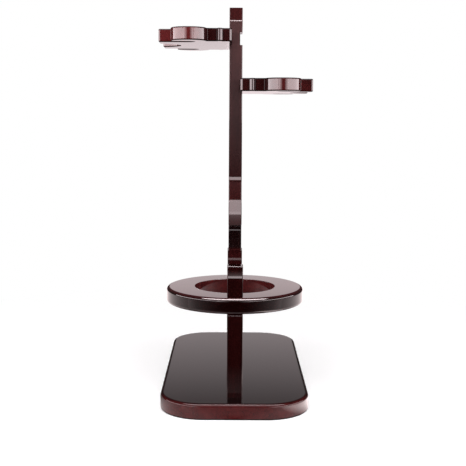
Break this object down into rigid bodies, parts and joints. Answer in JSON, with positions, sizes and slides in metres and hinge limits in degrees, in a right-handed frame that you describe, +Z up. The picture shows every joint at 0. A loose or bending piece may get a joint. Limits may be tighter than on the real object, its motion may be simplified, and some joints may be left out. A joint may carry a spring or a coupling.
{
  "type": "shaving stand",
  "caption": "Lacquered wooden shaving stand: oblong base, round bowl ring on legs, fretsawn upright, notched and slotted plates that hold brushes and razors.",
  "frame": {"origin": "middle of the base board's underside, on the surface that the stand rests on", "axes": "+Z up along the upright; +Y along the base board, away from the bowl ring; +X out towards the lower holder plate"},
  "size_m": [0.12, 0.23, 0.305],
  "materials": {
    "board_lacquer": "glossy clear lacquer over dark mahogany stain",
    "post_lacquer": "glossy clear lacquer over dark mahogany stain",
    "holder_lacquer": "glossy clear lacquer over dark mahogany stain",
    "screw_zinc": "zinc-plated",
    "dowel_beech": "bare"
  },
  "bodies": {
    "root": {"base_board": "board_lacquer", "front_leg": "post_lacquer", "rear_leg": "post_lacquer", "bowl_ring": "board_lacquer", "front_cap": "post_lacquer", "upright": "post_lacquer", "upper_holder": "holder_lacquer", "lower_holder": "holder_lacquer", "front_leg_screw_near": "screw_zinc", "front_leg_screw_far": "screw_zinc", "rear_leg_screw_near": "screw_zinc", "rear_leg_screw_far": "screw_zinc", "front_post_dowel_near": "dowel_beech", "front_post_dowel_far": "dowel_beech", "rear_post_dowel_near": "dowel_beech", "rear_post_dowel_far": "dowel_beech", "upper_holder_dowel_near": "dowel_beech", "upper_holder_dowel_far": "dowel_beech", "lower_holder_dowel_near": "dowel_beech", "lower_holder_dowel_far": "dowel_beech"}
  },
  "joints": []
}
